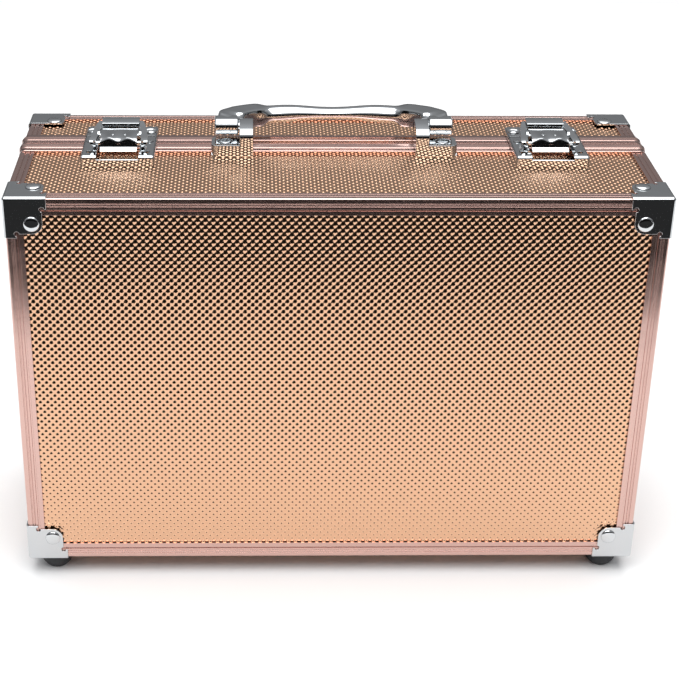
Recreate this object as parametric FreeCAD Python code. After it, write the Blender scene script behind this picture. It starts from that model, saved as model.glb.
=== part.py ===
import FreeCAD, Part
import os

# A hard carrying case stands on its hinge side. The base shell faces -Y and the lid shell faces +Y.
# All sizes are in millimetres. z = 0 is the surface the rubber feet stand on.

# Closed case
body_width = 340.0
body_height = 218.0
base_depth = 79.0
lid_depth = 49.0
foot_height = 12.0
edge_radius = 2.5

# How far a cutting tool reaches past what it cuts
cut_margin = 1.0

# Edge extrusions and wall panels
rail_wall = 1.4
face_flange = 9.3
side_flange = 8.0
panel_wall = 2.0
lining_wall = 2.0
lining_setback = 1.0

# Raised rim extrusions where the shells meet
rim_proud = 1.6
rim_width = 12.0
rim_web = 6.0
rim_radius = 5.6
least_ring_radius = 0.5
rim_side_gap = 0.2
parting_gap = 0.4
tongue_wall = 1.2
tongue_length = 2.2
tongue_inset = 0.6
tongue_clearance = 0.4
tongue_floor_gap = 14.0

# Corner caps and their rivets
cap_wall = 0.9
cap_arm_length = 21.5
cap_arm_width = 5.8
lid_cap_depth = 17.0
rivet_inset = 13.6
lobe_radius = 5.6
notch_radius = 0.9
rivet_head_radius = 4.2
rivet_head_height = 1.9
rivet_shank_radius = 1.6

# Rubber feet
foot_top_radius = 9.8
foot_bottom_radius = 5.8
foot_belly_radius = 8.6
foot_belly_height = 3.9
foot_recess_radius = 4.0
foot_recess_depth = 4.0
foot_screw_head_radius = 3.3
foot_screw_head_height = 2.0
foot_screw_rounding = 0.8

# Hinges under the case
hinge_x = 95.0
hinge_width = 36.0
hinge_lid_share = 12.0
hinge_segment_gap = 0.3
hinge_drop = 3.8
knuckle_radius = 2.6
hinge_pin_radius = 1.25
leaf_wall = 1.2
leaf_length = 20.0
leaf_rivet_share = 0.62
leaf_rivet_spread = 12.0
leaf_knuckle_gap = 0.4
leaf_notch_gap = 0.5
running_clearance = 0.05

# Small rivets on latches and hinges
small_rivet_radius = 1.3
small_rivet_head_radius = 2.3
small_rivet_head_height = 0.7

# Handle brackets, fixed to the base rim
ear_inner = 43.8
ear_thickness = 7.4
ear_front = -16.3
ear_front_height = 14.2
ear_nose = 1.0
pivot_v = -0.5
pivot_height = 10.9
ear_top_radius = 4.1
bracket_foot_outer = 66.5
bracket_foot_front = -16.3
bracket_foot_back = -1.7
bracket_foot_top = 4.2
bracket_foot_rounding = 3.0
bracket_screw_x = 59.0
bracket_screw_v = -9.0
bracket_screw_head_radius = 3.2
bracket_screw_head_height = 1.2
bracket_screw_rounding = 0.5
lid_overhang_gap = 0.8
handle_pin_radius = 2.0
handle_pin_depth = 8.0

# Folding handle
knuckle_gap = 0.6
knuckle_width = 13.0
knuckle_reach = 5.0
knuckle_height = 8.9
knuckle_length = 10.5
knuckle_rounding = 3.0
grip_reach = 21.1
grip_width = 11.0
grip_thickness = 7.2
grip_flat_half = 35.0
grip_inner_trim = 3.0
bail_outer_bulge = 7.0
bail_inner_bulge = 4.0
bail_overlap = 2.0

# Toggle latches
latch_x = 116.0
latch_width = 39.5
latch_top = 4.7
latch_sheet = 1.2
plate_front = -31.0
plate_back = -0.5
window_front = -20.0
window_back = -2.0
strike_front = 0.5
strike_back = 17.0
latch_rivet_x = 15.8
plate_rivet_v = -7.5
strike_rivet_v = 8.0
latch_pin_radius = 1.1
lug_wall = 1.9
part_side_gap = 0.25
strike_hook_half = 8.5
strike_hook_front = 4.5
strike_hook_back = 9.6
strike_hook_rise = 4.6

# Levers: v runs from the parting towards the lid, and every rise is above the plate's top
lever_width = 20.6
lever_pivot_v = -8.0
lever_pivot_rise = 3.3
lever_back = -3.1
lever_bend = -17.0
lever_lip_v = -23.0
lever_front = -27.0
lever_rise = 5.8
lever_lip_rise = 2.0
lever_lip_drop = 0.4
lever_fold = 0.3
lever_wall_rise = 0.6
lever_wall_step = 2.4
lever_wall_back = 1.0
lever_wall_nose = 2.5
lever_wall_heel = 2.0

# Claws, each on a pin near the front of its lever
claw_pivot_v = -17.5
claw_pivot_rise = 2.5
claw_side_gap = 0.5
arm_strip_width = 4.8
arm_rise = 5.2
arm_front = -20.0
arm_back = 9.0
arm_wall_length = 6.0
claw_bridge_front = -0.4
claw_bridge_low_rise = 7.3
claw_bridge_rise = 8.3
claw_bridge_peak = 7.0
claw_bridge_step = 3.0
claw_shoulder = 2.0
claw_shoulder_drop = 0.4
claw_hook_gap = 0.5
claw_hook_rise = 1.7

# Places worked out from the sizes above
half_width = body_width / 2
face_y = -(base_depth + lid_depth) / 2
parting_y = face_y + base_depth
back_y = parting_y + lid_depth
bottom_z = foot_height
top_z = bottom_z + body_height
panel_inset = rail_wall
inner_inset = rail_wall + panel_wall
latch_half = latch_width / 2
lever_half = lever_width / 2
lever_pivot_height = latch_top + lever_pivot_rise
lever_top = latch_top + lever_rise
lever_lip_top = latch_top + lever_lip_rise
lever_wall_bottom = latch_top + lever_wall_rise
claw_pivot_height = latch_top + claw_pivot_rise
arm_top = latch_top + arm_rise
claw_bridge_low = latch_top + claw_bridge_low_rise
claw_bridge_top = latch_top + claw_bridge_rise
claw_hook_bottom = latch_top + claw_hook_rise
strike_hook_top = latch_top + strike_hook_rise
lug_inner = lever_half + part_side_gap
lug_outer = lug_inner + latch_sheet
claw_inner = lug_outer + claw_side_gap
claw_wall_outer = claw_inner + latch_sheet
claw_outer = claw_inner + arm_strip_width
ear_outer = ear_inner + ear_thickness
knuckle_inner = ear_outer + knuckle_gap
knuckle_outer = knuckle_inner + knuckle_width
hinge_z = bottom_z - hinge_drop
latch_centres = {"left": -latch_x, "right": latch_x}
sides = {"left": -1, "right": 1}
ends = {"bottom": -1, "top": 1}
shells = {
    "base": {"face": face_y, "inward": 1, "depth": base_depth, "cap_depth": cap_arm_length},
    "lid": {"face": back_y, "inward": -1, "depth": lid_depth, "cap_depth": lid_cap_depth},
}


def box(x0, x1, y0, y1, z0, z1):
    corner = FreeCAD.Vector(min(x0, x1), min(y0, y1), min(z0, z1))
    return Part.makeBox(abs(x1 - x0), abs(y1 - y0), abs(z1 - z0), corner)


def cylinder(radius, start, end):
    first = FreeCAD.Vector(*start)
    along = FreeCAD.Vector(*end) - first
    return Part.makeCylinder(radius, along.Length, first, along)


def prism(points, direction):
    corners = [FreeCAD.Vector(*p) for p in points]
    face = Part.Face(Part.makePolygon(corners + corners[:1]))
    return face.extrude(FreeCAD.Vector(*direction))


def fuse_all(shapes):
    whole = shapes[0]
    for shape in shapes[1:]:
        whole = whole.fuse(shape)
    return whole.removeSplitter()


def cut_all(shape, tools):
    for tool in tools:
        shape = shape.cut(tool)
    return shape


def save(name, *shapes):
    solids = []
    for shape in shapes:
        solids.extend(shape.Solids)
    out = solids[0] if len(solids) == 1 else Part.makeCompound(solids)
    out.exportStep("parts/" + name + ".step")


def depth_y(shell, v):
    # v is measured inward from the shell's outer face.
    return shell["face"] + shell["inward"] * v


def shell_box(shell, x0, x1, v0, v1, z0, z1):
    return box(x0, x1, depth_y(shell, v0), depth_y(shell, v1), z0, z1)


def rounded_body(offset):
    block = box(
        -half_width - offset, half_width + offset,
        face_y - offset, back_y + offset,
        bottom_z - offset, top_z + offset)
    return block.makeFillet(edge_radius + offset, block.Edges)


def end_z(end, inset):
    # A height measured inward from the top or the bottom of the body.
    return top_z - inset if end > 0 else bottom_z + inset


def side_x(side, inset):
    return side * (half_width - inset)


# Rivet and screw places


def corner_rivets(shell, side, end):
    """Axis points and outward directions of one corner's three fixings: face, side, then end."""
    x = side_x(side, rivet_inset)
    y = depth_y(shell, rivet_inset)
    z = end_z(end, rivet_inset)
    return [
        ((x, shell["face"], z), (0, -shell["inward"], 0)),
        ((side_x(side, 0), y, z), (side, 0, 0)),
        ((x, y, end_z(end, 0)), (0, 0, end)),
    ]


def moved(point, direction, distance):
    return tuple(p + d * distance for p, d in zip(point, direction))


def shank(point, direction, radius, outer):
    return cylinder(radius, moved(point, direction, -inner_inset), moved(point, direction, outer))


def corner_holes(shell):
    holes = []
    for side in sides.values():
        for end in ends.values():
            for point, direction in corner_rivets(shell, side, end):
                holes.append(shank(point, direction, rivet_shank_radius, cap_wall))
    return holes


def small_fixings(name):
    """Points on the body's surface where small rivets go in, with directions and the plate's height."""
    places = []
    latch_v = plate_rivet_v if name == "base" else strike_rivet_v
    inward = -1 if name == "base" else 1
    for centre in latch_centres.values():
        for side in sides.values():
            point = (centre + side * latch_rivet_x, parting_y + latch_v, top_z)
            places.append((point, (0, 0, 1), latch_top))
    for hinge_side in sides.values():
        for side in sides.values():
            x = hinge_side * hinge_x + side * leaf_rivet_spread
            point = (x, parting_y + inward * leaf_length * leaf_rivet_share, bottom_z)
            places.append((point, (0, 0, -1), leaf_wall))
    return places


def small_holes(name):
    return [shank(p, d, small_rivet_radius, height) for p, d, height in small_fixings(name)]


def bracket_screw_points():
    return [(side * bracket_screw_x, parting_y + bracket_screw_v, top_z) for side in sides.values()]


def bracket_holes():
    return [shank(p, (0, 0, 1), rivet_shank_radius, bracket_foot_top) for p in bracket_screw_points()]


# Shell pieces


def flange_pair(shell, end, x0, x1):
    """One face rail along X: a flange on the face and one on the top or bottom."""
    on_face = shell_box(shell, x0, x1, 0, rail_wall, end_z(end, 0), end_z(end, face_flange))
    on_end = shell_box(shell, x0, x1, 0, side_flange, end_z(end, 0), end_z(end, rail_wall))
    return on_face.fuse(on_end)


def upright_rail(shell, side):
    z0 = bottom_z + face_flange
    z1 = top_z - face_flange
    on_face = shell_box(shell, side_x(side, 0), side_x(side, face_flange), 0, rail_wall, z0, z1)
    on_side = shell_box(shell, side_x(side, 0), side_x(side, rail_wall), 0, side_flange, z0, z1)
    return on_face.fuse(on_side)


def edge_rail(shell, side, end):
    v0 = side_flange
    v1 = shell["depth"] - rim_width
    on_end = shell_box(
        shell, side_x(side, 0), side_x(side, side_flange), v0, v1, end_z(end, 0), end_z(end, rail_wall))
    on_side = shell_box(
        shell, side_x(side, 0), side_x(side, rail_wall), v0, v1, end_z(end, 0), end_z(end, side_flange))
    return on_end.fuse(on_side)


def panels(shell):
    v0 = inner_inset
    v1 = shell["depth"] - rim_web
    x_out = half_width - panel_inset
    x_in = half_width - inner_inset
    face = shell_box(
        shell, -x_out, x_out, panel_inset, inner_inset, bottom_z + panel_inset, top_z - panel_inset)
    found = {"face": face}
    for name, end in ends.items():
        z_out = end_z(end, panel_inset)
        found[name] = shell_box(shell, -x_out, x_out, v0, v1, z_out, end_z(end, inner_inset))
    for name, side in sides.items():
        found[name] = shell_box(
            shell, side * x_out, side * x_in, v0, v1, bottom_z + inner_inset, top_z - inner_inset)
    return found


def runs_along(edge, axis):
    direction = edge.tangentAt(edge.FirstParameter)
    return abs(getattr(direction, axis)) > 0.9


def inset_block(inset, y0, y1):
    return box(side_x(-1, inset), side_x(1, inset), y0, y1, end_z(-1, inset), end_z(1, inset))


def ring(y0, y1, outer_inset, inner_depth):
    """A band round the case between two insets from the body's outer surface."""
    outer = inset_block(outer_inset, y0, y1)
    along_y = [e for e in outer.Edges if runs_along(e, "y")]
    radius = max(rim_radius - rim_proud - outer_inset, least_ring_radius)
    return outer.makeFillet(radius, along_y).cut(inset_block(inner_depth, y0, y1))


def hinge_notches():
    half = hinge_width / 2 + leaf_notch_gap
    reach = rim_width + cut_margin
    low = bottom_z - rim_proud - cut_margin
    return [
        box(s * hinge_x - half, s * hinge_x + half, parting_y - reach, parting_y + reach, low, bottom_z)
        for s in sides.values()]


def rim(shell):
    v_start = shell["depth"] - rim_width
    v_web = shell["depth"] - rim_web
    v_end = shell["depth"] - parting_gap / 2
    band = ring(depth_y(shell, v_start), depth_y(shell, v_web), -rim_proud, panel_inset)
    web = ring(depth_y(shell, v_web), depth_y(shell, v_end), -rim_proud, inner_inset)
    return fuse_all([band, web] if shell["inward"] > 0 else [web, band])


def tongue(clearance, length):
    """The lid rim's tongue on three sides, or, with a clearance, the base groove that takes it."""
    y1 = parting_y + parting_gap
    y0 = parting_y - length
    loop = ring(y0, y1, tongue_inset - clearance, tongue_inset + tongue_wall + clearance)
    floor = bottom_z + tongue_floor_gap - clearance
    below = box(-body_width, body_width, y0 - cut_margin, y1 + cut_margin, bottom_z - foot_height, floor)
    return loop.cut(below)


def lining(shell):
    v0 = inner_inset
    v1 = shell["depth"] - lining_setback
    x = half_width - inner_inset
    z0 = bottom_z + inner_inset
    z1 = top_z - inner_inset
    w = lining_wall
    outer = shell_box(shell, -x, x, v0, v1, z0, z1)
    inner = shell_box(shell, -x + w, x - w, v0 + w, v1 + w, z0 + w, z1 - w)
    return outer.cut(inner)


# Corner caps


def cap_outline(spot, length_a, length_b):
    """One face of a cap, drawn in distances a and b from the corner's edges and h outward."""
    low = -cap_wall
    high = cap_wall + cut_margin
    inset = rivet_inset
    reach = inset + lobe_radius
    arm = cap_arm_width
    outlines = [
        [(low, low), (length_a, low), (length_a, arm), (low, arm)],
        [(low, low), (arm, low), (arm, length_b), (low, length_b)],
        [(low, low), (inset, low), (inset, inset), (low, inset)],
        [(low, inset), (inset, inset), (inset, reach), (arm, reach), (low, inset + notch_radius)],
        [(inset, low), (inset, inset), (reach, inset), (reach, arm), (inset + notch_radius, low)],
    ]
    outward = tuple(spot(0, 0, high) - spot(0, 0, 0))
    plates = [prism([spot(p, q, 0) for p, q in outline], outward) for outline in outlines]
    plates.append(cylinder(lobe_radius, spot(inset, inset, 0), spot(inset, inset, high)))
    notch = arm + notch_radius
    notches = ((reach, notch), (notch, reach))
    cuts = [cylinder(notch_radius, spot(p, q, 0), spot(p, q, high)) for p, q in notches]
    return cut_all(fuse_all(plates), cuts)


def corner_cap(shell, side, end, skin):
    corner = FreeCAD.Vector(side_x(side, 0), shell["face"], end_z(end, 0))
    along_x = FreeCAD.Vector(-side, 0, 0)
    along_y = FreeCAD.Vector(0, shell["inward"], 0)
    along_z = FreeCAD.Vector(0, 0, -end)
    arm = cap_arm_length
    depth_arm = shell["cap_depth"]
    faces = [
        cap_outline(lambda a, b, h: corner + along_x * a + along_z * b - along_y * h, arm, arm),
        cap_outline(lambda a, b, h: corner + along_y * a + along_z * b - along_x * h, depth_arm, arm),
        cap_outline(lambda a, b, h: corner + along_x * a + along_y * b - along_z * h, arm, depth_arm),
    ]
    cap = skin.common(fuse_all(faces + corner_edge_blocks(shell, side, end, depth_arm)))
    return cut_all(cap, corner_holes(shell))


def corner_edge_blocks(shell, side, end, depth_arm):
    """Square bars along the three edges, which carry the rounded edges of a cap."""
    r = edge_radius + cap_wall
    a = cap_arm_length
    s = cap_wall
    return [
        shell_box(shell, side_x(side, -s), side_x(side, a), -s, r, end_z(end, -s), end_z(end, r)),
        shell_box(shell, side_x(side, -s), side_x(side, r), -s, r, end_z(end, -s), end_z(end, a)),
        shell_box(shell, side_x(side, -s), side_x(side, r), -s, depth_arm, end_z(end, -s), end_z(end, r)),
    ]


def domed_rivet(point, direction, head_radius, head_height, shank_radius, seat):
    """A rivet whose domed head sits at the seat height above the body surface."""
    sphere_radius = (head_radius ** 2 + head_height ** 2) / (2 * head_height)
    centre = moved(point, direction, seat + head_height - sphere_radius)
    ball = Part.makeSphere(sphere_radius, FreeCAD.Vector(*centre))
    seat_point = moved(point, direction, seat)
    zone_top = moved(seat_point, direction, head_height + cut_margin)
    cap_zone = cylinder(head_radius + cut_margin, seat_point, zone_top)
    return ball.common(cap_zone).fuse(shank(point, direction, shank_radius, seat))


def foot_centre(shell, side):
    return side_x(side, rivet_inset), depth_y(shell, rivet_inset)


def rubber_foot(shell, side):
    x, y = foot_centre(shell, side)
    top = bottom_z - cap_wall
    middle = FreeCAD.Vector(foot_belly_radius, 0, foot_belly_height)
    start = FreeCAD.Vector(foot_top_radius, 0, top)
    end = FreeCAD.Vector(foot_bottom_radius, 0, 0)
    profile = Part.Wire([
        Part.LineSegment(FreeCAD.Vector(0, 0, 0), FreeCAD.Vector(0, 0, top)).toShape(),
        Part.LineSegment(FreeCAD.Vector(0, 0, top), start).toShape(),
        Part.Arc(start, middle, end).toShape(),
        Part.LineSegment(end, FreeCAD.Vector(0, 0, 0)).toShape(),
    ])
    solid = Part.Face(profile).revolve(FreeCAD.Vector(0, 0, 0), FreeCAD.Vector(0, 0, 1), 360)
    solid = solid.cut(cylinder(foot_recess_radius, (0, 0, -cut_margin), (0, 0, foot_recess_depth)))
    solid = solid.cut(cylinder(rivet_shank_radius, (0, 0, 0), (0, 0, top + cut_margin)))
    solid.translate(FreeCAD.Vector(x, y, 0))
    return solid


def foot_screw(shell, side):
    x, y = foot_centre(shell, side)
    head_low = foot_recess_depth - foot_screw_head_height
    head = cylinder(foot_screw_head_radius, (x, y, head_low), (x, y, foot_recess_depth))
    low_edge = [e for e in head.Edges if e.BoundBox.ZMax < head_low + foot_screw_rounding]
    head = head.makeFillet(foot_screw_rounding, low_edge)
    stem = cylinder(rivet_shank_radius, (x, y, foot_recess_depth), (x, y, bottom_z + inner_inset))
    return head.fuse(stem)


def build_shell(name, skin, body):
    shell = shells[name]
    fixings = corner_holes(shell) + small_holes(name)
    if name == "base":
        fixings += bracket_holes()
    for place, panel in panels(shell).items():
        save(name + "_" + place + "_panel", cut_all(panel, fixings))
    for place, end in ends.items():
        rail = flange_pair(shell, end, -half_width, half_width).common(body)
        save(name + "_face_rail_" + place, rail)
    for place, side in sides.items():
        save(name + "_face_rail_" + place, upright_rail(shell, side).common(body))
    corners = [(side, end) for side in sides.values() for end in ends.values()]
    save(name + "_edge_rails", *[edge_rail(shell, side, end).common(body) for side, end in corners])
    frame = rim(shell)
    frame = cut_all(frame, hinge_notches() + fixings)
    if name == "base":
        frame = frame.cut(tongue(tongue_clearance, tongue_length + tongue_clearance))
    else:
        frame = frame.fuse(tongue(0, tongue_length)).removeSplitter()
    save(name + "_rim", frame)
    save(name + "_lining", lining(shell))
    rivets = []
    for end_name, end in ends.items():
        for side_name, side in sides.items():
            save(name + "_corner_" + end_name + "_" + side_name, corner_cap(shell, side, end, skin))
            places = corner_rivets(shell, side, end)
            if end < 0:
                places = places[:2]
            for point, direction in places:
                rivets.append(domed_rivet(
                    point, direction, rivet_head_radius, rivet_head_height, rivet_shank_radius, cap_wall))
    save(name + "_corner_rivets", *rivets)
    save(name + "_feet", *[rubber_foot(shell, side) for side in sides.values()])
    save(name + "_foot_screws", *[foot_screw(shell, side) for side in sides.values()])
    save(name + "_small_rivets", *[
        domed_rivet(p, d, small_rivet_head_radius, small_rivet_head_height, small_rivet_radius, height)
        for p, d, height in small_fixings(name)])


# Hinges


def hinge_segments(name, centre):
    """X ranges of a leaf's knuckles: two outer ones on the base, one in the middle on the lid."""
    half = hinge_width / 2
    middle = hinge_lid_share / 2
    if name == "lid":
        return [(centre - middle, centre + middle)]
    inner = middle + hinge_segment_gap
    return [(centre - half, centre - inner), (centre + inner, centre + half)]


def hinge_leaf(name, centre):
    inward = -1 if name == "base" else 1
    other = "lid" if name == "base" else "base"
    near = parting_y + inward * parting_gap / 2
    far = parting_y + inward * leaf_length
    half = hinge_width / 2
    leaf = box(centre - half, centre + half, near, far, bottom_z - leaf_wall, bottom_z)
    clear = knuckle_radius + leaf_knuckle_gap
    for x0, x1 in hinge_segments(other, centre):
        x0 -= hinge_segment_gap
        x1 += hinge_segment_gap
        leaf = leaf.cut(box(x0, x1, near, parting_y + inward * clear, bottom_z - leaf_wall, bottom_z))
    bore = hinge_pin_radius if name == "base" else hinge_pin_radius + running_clearance
    for x0, x1 in hinge_segments(name, centre):
        knuckle = cylinder(knuckle_radius, (x0, parting_y, hinge_z), (x1, parting_y, hinge_z))
        web = box(x0, x1, near, parting_y + inward * knuckle_radius, hinge_z, bottom_z)
        hole = cylinder(bore, (x0, parting_y, hinge_z), (x1, parting_y, hinge_z))
        leaf = leaf.fuse(knuckle).fuse(web).cut(hole)
    return cut_all(leaf.removeSplitter(), small_holes(name))


def hinge_pin(centre):
    half = hinge_width / 2
    start = (centre - half, parting_y, hinge_z)
    return cylinder(hinge_pin_radius, start, (centre + half, parting_y, hinge_z))


def build_hinges():
    centres = [side * hinge_x for side in sides.values()]
    for name in shells:
        save(name + "_hinge_leaves", *[hinge_leaf(name, centre) for centre in centres])
    save("hinge_pins", *[hinge_pin(centre) for centre in centres])


# Handle


def handle_pivot(x):
    return (x, parting_y + pivot_v, top_z + pivot_height)


def handle_bracket(side):
    base = parting_y
    low = top_z - panel_inset
    rest = top_z + rim_proud
    over_lid = rest + lid_overhang_gap
    rim_edge = base - rim_width - rim_side_gap
    pivot_y = base + pivot_v
    r = ear_top_radius
    corners = [
        (base + ear_front, low), (base + ear_front, top_z + ear_front_height - ear_nose),
        (base + ear_front + ear_nose, top_z + ear_front_height), (pivot_y, top_z + pivot_height + r),
        (pivot_y + r, top_z + pivot_height), (pivot_y + r, over_lid), (base - parting_gap, over_lid),
        (base - parting_gap, rest), (rim_edge, rest), (rim_edge, low)]
    x0 = side * ear_inner
    ear = prism([(x0, y, z) for y, z in corners], (side * ear_thickness, 0, 0))
    ear = ear.fuse(cylinder(r, handle_pivot(x0), handle_pivot(side * ear_outer)))
    foot = box(
        side * ear_outer, side * bracket_foot_outer, base + bracket_foot_front, base + bracket_foot_back,
        rest, top_z + bracket_foot_top)
    upright = [e for e in foot.Edges if runs_along(e, "z")]
    corners_out = [e for e in upright if abs(e.CenterOfMass.x) > bracket_screw_x]
    foot = foot.makeFillet(bracket_foot_rounding, corners_out)
    bracket = ear.fuse(foot).removeSplitter()
    hole = cylinder(handle_pin_radius, handle_pivot(x0), handle_pivot(side * ear_outer))
    return cut_all(bracket, bracket_holes() + [hole])


def bracket_screw(point):
    seat = moved(point, (0, 0, 1), bracket_foot_top)
    head = cylinder(bracket_screw_head_radius, seat, moved(seat, (0, 0, 1), bracket_screw_head_height))
    top_edge = [e for e in head.Edges if e.BoundBox.ZMin > seat[2] + bracket_screw_rounding]
    head = head.makeFillet(bracket_screw_rounding, top_edge)
    return head.fuse(shank(point, (0, 0, 1), rivet_shank_radius, bracket_foot_top))


def handle_pin(side):
    inner = side * ear_inner
    outer = side * (knuckle_inner + handle_pin_depth)
    return cylinder(handle_pin_radius, handle_pivot(inner), handle_pivot(outer))


def bail_edge(half_flat, v_flat, x_end, v_end, bulge):
    """Half of an outline: straight across the grip, then one arc down to the knuckle."""
    start = FreeCAD.Vector(half_flat, v_flat, 0)
    end = FreeCAD.Vector(x_end, v_end, 0)
    chord = end - start
    outward = FreeCAD.Vector(-chord.y, chord.x, 0).normalize()
    via = (start + end) * 0.5 + outward * bulge
    return start, via, end


def mirrored(point):
    return FreeCAD.Vector(-point.x, point.y, point.z)


def handle_grip():
    outer_v = grip_reach + grip_width / 2
    inner_v = grip_reach - grip_width / 2
    arm_end = knuckle_length - knuckle_reach - bail_overlap
    inner_half = grip_flat_half - grip_inner_trim
    o0, o1, o2 = bail_edge(grip_flat_half, outer_v, knuckle_outer, arm_end, bail_outer_bulge)
    i0, i1, i2 = bail_edge(inner_half, inner_v, knuckle_inner, arm_end, bail_inner_bulge)
    wire = Part.Wire([
        Part.LineSegment(mirrored(o0), o0).toShape(),
        Part.Arc(o0, o1, o2).toShape(),
        Part.LineSegment(o2, i2).toShape(),
        Part.Arc(i2, i1, i0).toShape(),
        Part.LineSegment(i0, mirrored(i0)).toShape(),
        Part.Arc(mirrored(i0), mirrored(i1), mirrored(i2)).toShape(),
        Part.LineSegment(mirrored(i2), mirrored(o2)).toShape(),
        Part.Arc(mirrored(o2), mirrored(o1), mirrored(o0)).toShape(),
    ])
    bail = Part.Face(wire).extrude(FreeCAD.Vector(0, 0, grip_thickness))
    bail.translate(FreeCAD.Vector(0, parting_y + pivot_v, top_z + pivot_height - grip_thickness / 2))
    knuckles = [handle_knuckle(side) for side in sides.values()]
    return cut_all(fuse_all([bail] + knuckles), [handle_bore(side) for side in sides.values()])


def handle_knuckle(side):
    pivot_y = parting_y + pivot_v
    z = top_z + pivot_height
    half = knuckle_height / 2
    block = box(
        side * knuckle_inner, side * knuckle_outer, pivot_y - knuckle_reach,
        pivot_y + knuckle_length - knuckle_reach, z - half, z + half)
    front_edges = [e for e in block.Edges if runs_along(e, "x") and e.BoundBox.YMax < pivot_y]
    return block.makeFillet(knuckle_rounding, front_edges)


def handle_bore(side):
    start = handle_pivot(side * knuckle_inner)
    end = handle_pivot(side * (knuckle_inner + handle_pin_depth + knuckle_gap))
    return cylinder(handle_pin_radius + running_clearance, start, end)


def build_handle():
    for name, side in sides.items():
        save("handle_bracket_" + name, handle_bracket(side))
    save("handle_bracket_screws", *[bracket_screw(point) for point in bracket_screw_points()])
    save("handle_pins", *[handle_pin(side) for side in sides.values()])
    save("handle_grip", handle_grip())


# Latches


def latch_box(centre, x0, x1, v0, v1, h0, h1):
    return box(centre + x0, centre + x1, parting_y + v0, parting_y + v1, top_z + h0, top_z + h1)


def latch_prism(centre, x0, x1, points):
    corners = [(centre + x0, parting_y + v, top_z + h) for v, h in points]
    return prism(corners, (x1 - x0, 0, 0))


def latch_rod(centre, radius, x0, x1, v, h):
    return cylinder(radius, (centre + x0, parting_y + v, top_z + h), (centre + x1, parting_y + v, top_z + h))


def flanged_sheet(centre, v0, v1, end_wall, rim_range):
    """A pressed plate with side walls and one end wall that reach down to the case."""
    half = latch_half
    low = -panel_inset
    parts = [
        latch_box(centre, -half, half, v0, v1, latch_top - latch_sheet, latch_top),
        latch_box(centre, -half, half, end_wall, end_wall + latch_sheet, low, latch_top)]
    for side in sides.values():
        inner = side * (half - latch_sheet)
        parts.append(latch_box(centre, side * half, inner, v0, v1, low, latch_top))
    whole = fuse_all(parts)
    return whole.cut(latch_box(centre, -latch_half, latch_half, rim_range[0], rim_range[1], low, rim_proud))


def latch_plate(centre):
    over_rim = (-rim_width - rim_side_gap, plate_back)
    plate = flanged_sheet(centre, plate_front, plate_back, plate_front, over_rim)
    window = latch_box(centre, -lug_inner, lug_inner, window_front, window_back, -panel_inset, latch_top)
    plate = plate.cut(window)
    lug_half = latch_pin_radius + lug_wall
    v = lever_pivot_v
    h = lever_pivot_height
    low = latch_top - latch_sheet
    for side in sides.values():
        inner = side * lug_inner
        outer = side * lug_outer
        lug = latch_box(centre, inner, outer, v - lug_half, v + lug_half, low, h)
        eye = latch_rod(centre, lug_half, inner, outer, v, h)
        below = latch_box(centre, inner, outer, v - lug_half, v + lug_half, -panel_inset, low)
        plate = plate.fuse(lug).fuse(eye.cut(below))
    plate = plate.removeSplitter()
    plate = plate.cut(latch_rod(centre, latch_pin_radius, -latch_half, latch_half, v, h))
    return cut_all(plate, small_holes("base"))


def strike_plate(centre):
    end_wall = strike_back - latch_sheet
    over_rim = (strike_front, rim_width + rim_side_gap)
    strike = flanged_sheet(centre, strike_front, strike_back, end_wall, over_rim)
    back = strike_hook_back
    wall = latch_box(centre, -strike_hook_half, strike_hook_half, strike_hook_front,
                     strike_hook_front + latch_sheet, latch_top, strike_hook_top)
    lip = latch_box(centre, -strike_hook_half, strike_hook_half, strike_hook_front, back,
                    strike_hook_top - latch_sheet, strike_hook_top)
    return cut_all(fuse_all([strike, wall, lip]), small_holes("lid"))


def lever(centre):
    t = latch_sheet
    top = lever_top
    lip = lever_lip_top
    edge = lip - lever_lip_drop
    fold = lever_fold
    outline = [
        (lever_back, top - t), (lever_back, top), (lever_bend, top), (lever_lip_v, lip),
        (lever_front, edge), (lever_front, edge - t),
        (lever_lip_v + fold, lip - t), (lever_bend + fold, top - t)]
    parts = [latch_prism(centre, -lever_half, lever_half, outline)]
    middle = top - t / 2
    front = lever_bend - lever_wall_step
    back = lever_back - lever_wall_back
    low = lever_wall_bottom
    heel = lever_pivot_height - lever_wall_heel
    side_outline = [
        (back, middle), (lever_bend + 2 * fold, middle), (front, low + lever_wall_step), (front, low),
        (claw_pivot_v + lever_wall_nose, low),
        (lever_pivot_v - lever_wall_heel, heel - lever_lip_drop), (back, heel)]
    for side in sides.values():
        parts.append(latch_prism(centre, side * (lever_half - t), side * lever_half, side_outline))
    whole = fuse_all(parts)
    bore = latch_pin_radius + running_clearance
    half = lever_half
    whole = whole.cut(latch_rod(centre, bore, -half, half, lever_pivot_v, lever_pivot_height))
    return whole.cut(latch_rod(centre, latch_pin_radius, -half, half, claw_pivot_v, claw_pivot_height))


def lever_pin(centre):
    return latch_rod(centre, latch_pin_radius, -lug_outer, lug_outer, lever_pivot_v, lever_pivot_height)


def claw_pin(centre):
    half = claw_wall_outer
    return latch_rod(centre, latch_pin_radius, -half, half, claw_pivot_v, claw_pivot_height)


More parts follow.
